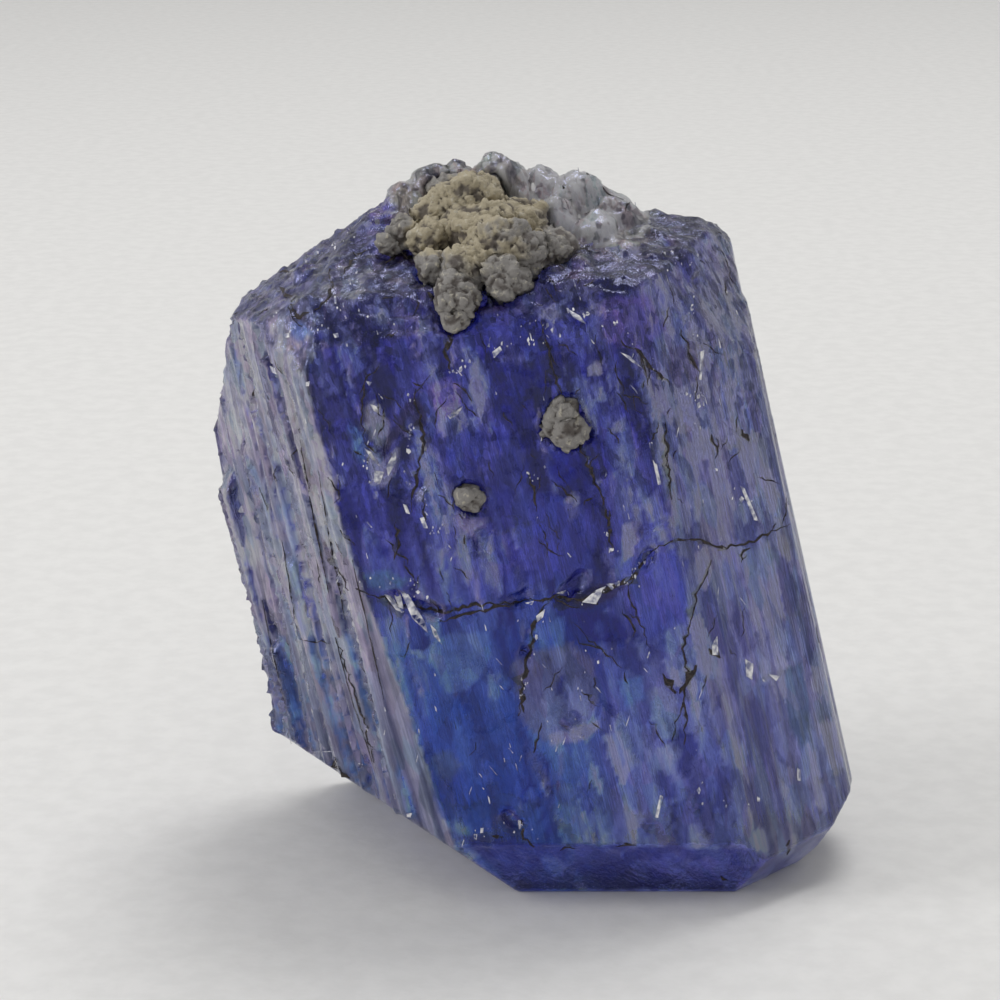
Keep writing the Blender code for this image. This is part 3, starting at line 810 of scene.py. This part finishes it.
def addCrack(bm, spots, width, depth, rng, proud=0.012):
    # a jagged wedge along places on the surface, which runs into the stone
    last = len(spots) - 1
    section = None
    for index, (place, normal) in enumerate(spots):
        run = spots[min(last, index + 1)][0] - spots[max(0, index - 1)][0]
        ends = min(1.0, 0.25 + 3.0 * min(index, last - index) / (last + 1))
        half = 0.5 * width * ends * rng.uniform(0.3, 1.6)
        aside = run.cross(normal).normalized() * (half * mm)
        top = place + normal * (proud * mm)
        root = place - normal * (depth * ends * rng.uniform(0.5, 1.2) * mm) + aside
        places = [top + aside, top - aside, root]
        if section is None:
            section = bm.faces.new([bm.verts.new(place) for place in places])
            continue
        grown = bmesh.ops.extrude_face_region(bm, geom=[section])["geom"]
        if index > 1:
            bmesh.ops.delete(bm, geom=[section], context="FACES_ONLY")
        section = next(g for g in grown if isinstance(g, bmesh.types.BMFace))
        for vert, place in zip(section.verts, places):
            vert.co = place


def addFlake(bm, spots, plate):
    # a thin plate that lies in the surface, from the places of its outline. The plate is given
    # as how far it stands proud and its thickness
    proud, thickness = plate
    normal = sum((normal for _, normal in spots), Vector()).normalized()
    front = bm.faces.new([bm.verts.new(place + normal * (proud * mm)) for place, _ in spots])
    grown = bmesh.ops.extrude_face_region(bm, geom=[front])["geom"]
    moved = [g for g in grown if isinstance(g, bmesh.types.BMVert)]
    bmesh.ops.translate(bm, verts=moved, vec=-normal * (thickness * mm))
    bmesh.ops.triangulate(bm, faces=[f for f in bm.faces if len(f.verts) > 4])


crackValues = {
    "seed": 5,
    "grooveWidth": 0.045,
    "grooveDepth": 0.2,
    "grooves": [
        # straight fine grooves of the left side, in pixels
        [(318, 470), (330, 540), (345, 620)],
        [(300, 440), (314, 520), (330, 600)],
        [(352, 560), (366, 620), (384, 700)],
        [(282, 540), (290, 590), (298, 636)],
        [(262, 600), (272, 650), (284, 700)],
        [(336, 640), (352, 700), (372, 762)],
    ],
    "strewn": 300,  # small cracks at random places
    "strewnLength": (0.25, 1.3),
    "strewnWidth": (0.020, 0.050),
    "strewnDepth": 0.15,
    "strewnStep": 0.16,
    "lines": [
        # points in pixels, width and depth in mm
        ([(356, 588), (398, 603), (440, 612), (472, 606), (500, 603), (530, 600)], 0.09, 0.5),
        ([(530, 600), (555, 597), (578, 600), (600, 592), (625, 583), (655, 549)], 0.12, 0.6),
        ([(655, 549), (678, 541), (700, 541), (722, 548), (745, 545), (790, 524)], 0.08, 0.5),
        ([(440, 622), (470, 613), (514, 604)], 0.10, 0.3),
        ([(548, 602), (536, 622), (530, 650), (524, 676), (518, 716)], 0.12, 0.4),
        ([(523, 694), (524, 713)], 0.10, 0.3),
        ([(543, 723), (534, 753)], 0.06, 0.3),
        ([(712, 560), (698, 590), (690, 620), (684, 648), (688, 676), (672, 742)], 0.07, 0.4),
        ([(541, 318), (548, 345), (556, 378), (562, 402)], 0.08, 0.4),
        ([(574, 438), (584, 455), (594, 478), (604, 505), (612, 536)], 0.08, 0.4),
        ([(452, 330), (446, 352), (452, 372)], 0.12, 0.4),
        ([(415, 388), (418, 412), (424, 434), (420, 462), (414, 490), (412, 512)], 0.09, 0.4),
        ([(366, 372), (362, 400), (364, 440)], 0.05, 0.3),
        ([(395, 522), (398, 540), (394, 560)], 0.09, 0.3),
        ([(634, 568), (628, 590), (640, 620), (650, 648)], 0.05, 0.3),
        ([(573, 622), (590, 640), (604, 652), (622, 668)], 0.04, 0.3),
        ([(528, 470), (534, 492), (536, 512)], 0.08, 0.3),
        ([(664, 422), (668, 470), (672, 500)], 0.09, 0.3),
        ([(608, 510), (610, 535), (612, 552)], 0.09, 0.3),
        ([(268, 271), (280, 273), (293, 271)], 0.07, 0.2),
        ([(280, 286), (292, 302), (296, 296)], 0.14, 0.2),
        ([(291, 304), (300, 318), (309, 312)], 0.13, 0.2),
        ([(314, 310), (326, 300), (332, 286), (330, 268)], 0.09, 0.2),
        ([(340, 276), (352, 262), (366, 250)], 0.08, 0.2),
        ([(336, 637), (352, 684), (366, 728), (374, 763)], 0.08, 0.3),
        ([(318, 765), (330, 768), (338, 781), (350, 778)], 0.16, 0.3),
        ([(492, 834), (503, 837)], 0.12, 0.2),
        ([(520, 820), (524, 838), (534, 847)], 0.13, 0.2),
        ([(560, 849), (575, 849)], 0.08, 0.2),
        ([(616, 846), (636, 845)], 0.10, 0.2),
        ([(720, 877), (728, 880)], 0.10, 0.2),
        ([(788, 840), (787, 855)], 0.12, 0.2),
        ([(662, 674), (668, 684), (676, 693)], 0.24, 0.3),
        ([(680, 694), (688, 680), (696, 665)], 0.22, 0.3),
        ([(684, 696), (686, 720), (684, 745)], 0.08, 0.3),
        ([(709, 648), (720, 658)], 0.14, 0.2),
        ([(596, 678), (594, 688)], 0.10, 0.2),
        ([(584, 600), (598, 604)], 0.16, 0.3),
        ([(620, 342), (640, 352), (656, 372), (670, 384)], 0.10, 0.3),
        ([(680, 330), (690, 352), (700, 372)], 0.07, 0.3),
        ([(712, 434), (718, 452)], 0.15, 0.2),
        ([(741, 430), (749, 441)], 0.13, 0.2),
        ([(742, 560), (744, 552), (750, 548)], 0.14, 0.3),
        ([(458, 514), (463, 519)], 0.12, 0.2),
        ([(300, 640), (316, 642), (330, 643)], 0.06, 0.2),
        ([(385, 262), (404, 254), (420, 262), (440, 258)], 0.16, 0.2),
        ([(428, 292), (440, 304), (444, 322)], 0.16, 0.2),
    ],
}

glintAndCrumbValues = {
    "seed": 11,
    "plate": (0.02, 0.03),  # how far a flake stands proud, and its thickness
    "crumbPlate": (0.012, 0.02),
    # painted glints at random places
    "strewn": 200,
    "strewnWidth": (0.015, 0.05),
    "strewnLength": (0.06, 0.32),
    "strings": [
        # lines of pale crumbs and painted glints in pixels, how far their crumbs stray, and how many
        # there are
        ([(455, 374), (478, 354), (502, 346), (522, 338), (546, 346)], 5, 26),
        ([(520, 326), (545, 322), (560, 330)], 6, 10),
        ([(566, 308), (588, 316), (612, 330)], 3, 8),
        ([(608, 318), (624, 330), (642, 352)], 3, 8),
        ([(693, 296), (692, 320), (694, 352)], 4, 9),
        ([(582, 604), (600, 592), (628, 578), (652, 556)], 5, 30),
        ([(356, 588), (380, 578), (410, 580), (420, 590)], 7, 18),
        ([(409, 388), (412, 425), (404, 462), (412, 490)], 5, 22),
        ([(424, 536), (440, 530), (456, 520), (462, 512)], 5, 14),
        ([(520, 465), (532, 480), (548, 462)], 4, 9),
        ([(362, 450), (372, 478), (384, 486), (398, 450)], 4, 12),
        ([(604, 530), (612, 548), (616, 552)], 3, 6),
        ([(600, 620), (572, 700), (548, 742)], 22, 14),
        ([(520, 700), (532, 660), (540, 620)], 4, 12),
        ([(640, 352), (668, 396), (700, 396), (700, 410)], 9, 16),
        ([(690, 420), (720, 470), (752, 512)], 8, 12),
        ([(250, 300), (290, 330), (336, 330)], 8, 12),
        ([(280, 262), (330, 250), (372, 214)], 10, 16),
        ([(360, 240), (340, 300), (356, 340)], 16, 16),
        ([(466, 838), (500, 826), (540, 838)], 6, 10),
        ([(690, 740), (700, 800), (770, 800)], 14, 10),
        ([(560, 232), (620, 236), (690, 262)], 12, 16),
    ],
    # bright specks in pixels: mostly painted glints, some pale crumbs
    "outlines": [
        [(384, 594), (392, 596), (402, 612), (396, 610)],
        [(394, 595), (401, 596), (404, 612), (401, 613)],
        [(401, 592), (408, 594), (425, 622), (428, 633), (412, 618)],
        [(430, 624), (436, 630), (442, 645), (434, 636)],
        [(536, 616), (545, 609), (543, 617), (537, 622)],
        [(525, 603), (534, 601), (532, 605)],
        [(556, 593), (566, 590), (563, 594)],
        [(582, 602), (596, 590), (606, 586), (596, 604)],
        [(606, 584), (618, 582), (612, 590)],
        [(649, 443), (652, 442), (661, 484), (658, 485)],
        [(660, 795), (663, 796), (658, 818), (655, 817)],
        [(447, 415), (456, 411), (463, 406), (458, 414), (450, 419)],
        [(370, 404), (376, 406), (380, 414), (374, 411)],
        [(364, 448), (371, 452), (380, 466), (374, 462)],
        [(386, 466), (396, 450), (396, 462), (388, 476)],
        [(374, 470), (384, 472), (380, 484), (374, 482)],
        [(270, 366), (275, 368), (277, 374), (272, 372)],
        [(306, 382), (310, 381), (309, 386), (306, 386)],
        [(366, 381), (372, 382), (369, 386)],
        [(712, 645), (717, 636), (718, 655), (712, 655)],
        [(745, 659), (753, 664), (752, 680), (746, 676)],
        [(768, 674), (779, 676), (776, 681)],
        [(797, 768), (801, 770), (800, 781), (797, 780)],
        [(740, 486), (744, 488), (758, 521), (754, 520)],
        [(700, 352), (704, 350), (701, 380), (699, 380)],
        [(620, 352), (630, 356), (642, 368), (632, 362)],
        [(566, 308), (580, 316), (586, 324), (574, 318)],
        [(492, 352), (500, 346), (502, 350), (494, 358)],
        [(420, 518), (424, 517), (428, 528), (424, 528)],
        [(403, 504), (407, 505), (410, 514), (406, 513)],
        [(518, 820), (522, 821), (524, 830), (519, 829)],
        [(310, 752), (314, 752), (315, 757), (311, 757)],
        [(358, 763), (363, 764), (361, 768), (358, 768)],
        [(406, 813), (412, 813), (411, 817), (407, 817)],
        [(284, 334), (289, 333), (290, 337), (286, 338)],
        [(333, 334), (338, 333), (339, 337), (335, 338)],
    ],
}


def makeCracks(v):
    rng = random.Random(v["seed"])
    bm = bmesh.new()
    for line, width, depth in v["lines"]:
        addCrack(bm, [spotSeen(*spot) for spot in jaggedLine(line, rng)], width, depth, rng)
    for line in v["grooves"]:
        spots = [spotSeen(*spot) for spot in jaggedLine(line, rng, 6.0, 0.35)]
        addCrack(bm, spots, v["grooveWidth"], v["grooveDepth"], rng, 0.006)
    axis = toStanding @ Vector((0.0, 0.0, 1.0))
    for _ in range(v["strewn"]):
        place, normal = spotAround(rng, 3.0, 23.0)
        h = crystalPlace(place).z
        if h < rng.uniform(4.0, 15.0):
            continue
        run = (axis * rng.uniform(0.2, 1.0) + axis.cross(normal) * rng.uniform(-0.7, 0.7)).normalized()
        spots = [(place, normal)]
        for _ in range(max(2, round(rng.uniform(*v["strewnLength"]) / v["strewnStep"]))):
            swerve = Vector((rng.uniform(-1, 1), rng.uniform(-1, 1), rng.uniform(-1, 1))) * 0.6
            ahead = place + (run + swerve).normalized() * (v["strewnStep"] * mm)
            place, normal, _, _ = surface.find_nearest(ahead)
            spots.append((place, normal))
        addCrack(bm, spots, rng.uniform(*v["strewnWidth"]), v["strewnDepth"], rng, 0.008)
    earth = innerMaterial("crackEarth", (0.010, 0.009, 0.012), (0.050, 0.038, 0.036), 0.0, 0.5,
                          (0.1, 0.1, 0.1))
    finishInner(placeBmesh("dark_cracks", bm), earth)


def crumbOutline(spot, rng):
    # a small irregular outline in pixels around a pixel
    sides = rng.choice((3, 4, 4, 5))
    size = rng.uniform(0.8, 2.0) * rng.choice((0.6, 1.0, 1.0, 2.0))
    turn = rng.uniform(0.0, 6.3)
    corners = []
    for index in range(sides):
        angle = turn + 6.283 * index / sides
        reach = size * rng.uniform(0.5, 1.3)
        corners.append((spot.x + 0.6 * reach * math.cos(angle), spot.y + reach * math.sin(angle)))
    return corners


def makeGlintsAndCrumbs(v):
    rng = random.Random(v["seed"])
    bm = bmesh.new()
    for outline in v["outlines"]:
        addFlake(bm, [spotSeen(*spot) for spot in outline], v["plate"])
    for line, stray, count in v["strings"]:
        for _ in range(count):
            index = rng.randrange(len(line) - 1)
            spot = Vector(line[index]).lerp(Vector(line[index + 1]), rng.random())
            spot += Vector((rng.gauss(0.0, 0.5), rng.gauss(0.0, 0.5))) * stray
            corners = [spotSeen(*corner) for corner in crumbOutline(spot, rng)]
            addFlake(bm, corners, v["crumbPlate"])
    axis = toStanding @ Vector((0.0, 0.0, 1.0))
    for _ in range(v["strewn"]):
        place, normal = spotAround(rng, 2.5, 23.0)
        up = (axis + axis.cross(normal) * rng.choice((-0.5, 0.0, 0.0, 0.6))).normalized()
        aside = up.cross(normal).normalized()
        width = rng.uniform(*v["strewnWidth"]) * mm
        length = rng.uniform(*v["strewnLength"]) * mm
        corners = []
        for x, y in ((-0.5, -0.4), (0.4, -0.5), (0.5, 0.3), (-0.2, 0.6)):
            corner = place + aside * (x * width) + up * (y * length * rng.uniform(0.6, 1.4))
            corners.append((corner, normal))
        addFlake(bm, corners, v["crumbPlate"])
    # the near-white colour of the painted glints and crumbs
    white = innerMaterial("cleavageFlash", (0.20, 0.21, 0.34), (0.86, 0.85, 0.86), 0.0, 0.25,
                          (0.25, 0.25, 0.25))
    finishInner(placeBmesh("glints_and_crumbs", bm), white)


makeCracks(crackValues)
makeGlintsAndCrumbs(glintAndCrumbValues)
print("cracks and flakes placed")


# The matrix: the crumbly crust and two grains

matrixValues = {
    "voxel": 0.065,
    "grown": {"matrix_crust": 0.07, "matrix_grain_middle": 0.15, "matrix_grain_left": 0.15},
    "lump": 0.50,
    "lumpHeight": 0.13,
    "crumb": 0.20,
    "crumbHeight": 0.08,
    "chip": (0.24, 0.24),
    "chipTilt": 0.13,
    "middle": (1.2, -1.6, 22.3),  # the crust is creamiest here, and grey further out
    "cream": (0.385, 0.335, 0.235),
    "light": (0.49, 0.455, 0.37),
    "grey": (0.245, 0.232, 0.220),
    "brown": (0.070, 0.056, 0.050),
    "patchCell": (1.3, 1.3, 1.3),
    "crumbCell": (0.20, 0.20, 0.20),
    "roughness": 0.7,
    "bump": (0.8, 0.1),
}


def matrixMaterial(v):
    material, tree, shader, _ = newMaterial("crumblyMatrix")
    shader.inputs["Roughness"].default_value = v["roughness"]
    hollow = tree.nodes.new("ShaderNodeAttribute")
    hollow.attribute_name = "hollow"
    patches = noiseOf(tree, crystalCoordinates(tree, v["patchCell"]), 1.0, 3.0)
    crumbs = noiseOf(tree, crystalCoordinates(tree, v["crumbCell"]), 1.0, 3.0, 0.65)
    creamy = tree.nodes.new("ShaderNodeAttribute")
    creamy.attribute_name = "creamy"
    drift = maths(tree, "ADD", creamy.outputs["Fac"], ramp(tree, patches, 0.35, 0.65, -0.3, 0.3))
    colour = mixColour(tree, ramp(tree, drift, 0.3, 0.7), v["grey"], v["cream"])
    colour = mixColour(tree, ramp(tree, crumbs, 0.55, 0.72), colour, v["light"])
    # painted shade in the hollows of the crust, in the dark brown
    deep = ramp(tree, hollow.outputs["Fac"], 0.45, 0.95, 0.0, 0.85)
    colour = mixColour(tree, deep, colour, v["brown"])
    colour = mixColour(tree, ramp(tree, crumbs, 0.42, 0.28, 0.0, 0.45), colour, v["brown"])
    tree.links.new(colour, shader.inputs["Base Color"])
    bumpOn(tree, shader, crumbs, v["bump"])
    return material


def shapeMatrix(piece, grown, v):
    # crumbs on the lumps, grown a little so that they fill their pocket
    mesh = piece.data
    moved = []
    hollows = []
    creamy = []
    for vert in mesh.vertices:
        p = crystalPlace(vert.co)
        creamy.append(smoothStep(3.3, 1.5, (p - Vector(v["middle"])).length))
        lumps = noise.voronoi(p / v["lump"])[0]
        crumbs = noise.voronoi(p / v["crumb"] + Vector((3.1, 0.0, 0.0)))[0]
        lump = 0.45 - lumps[0] + 0.3 * noise.noise(p * 3.0)
        crumb = 0.45 - crumbs[0]
        tilt, wall = tiltedCells(p, v["chip"])
        shift = grown + v["lumpHeight"] * lump + v["crumbHeight"] * crumb
        shift += v["chipTilt"] * tilt - 0.05 * wall
        # painted shade: the deeper a place lies between lumps and crumbs, the more of it
        hollows.append(min(1.0, max(0.0, 0.45 - 1.3 * lump - 0.9 * crumb - 0.5 * tilt + 0.3 * wall)))
        moved.append(vert.co + vert.normal * (shift * mm))
    for vert, place in zip(mesh.vertices, moved):
        vert.co = place
    mesh.attributes.new("hollow", "FLOAT", "POINT").data.foreach_set("value", hollows)
    mesh.attributes.new("creamy", "FLOAT", "POINT").data.foreach_set("value", creamy)
    mesh.update()


matrixFinish = matrixMaterial(matrixValues)
for nodeName in ("matrix_crust", "matrix_grain_middle", "matrix_grain_left"):
    piece = weldedCopy(nodeName, nodeName.replace("matrix_", "crumbly_"))
    remeshed(piece, matrixValues["voxel"])
    shapeMatrix(piece, matrixValues["grown"][nodeName], matrixValues)
    piece.data.materials.append(matrixFinish)
    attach(piece, "root")
    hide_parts(nodeName)
print("matrix shaped")
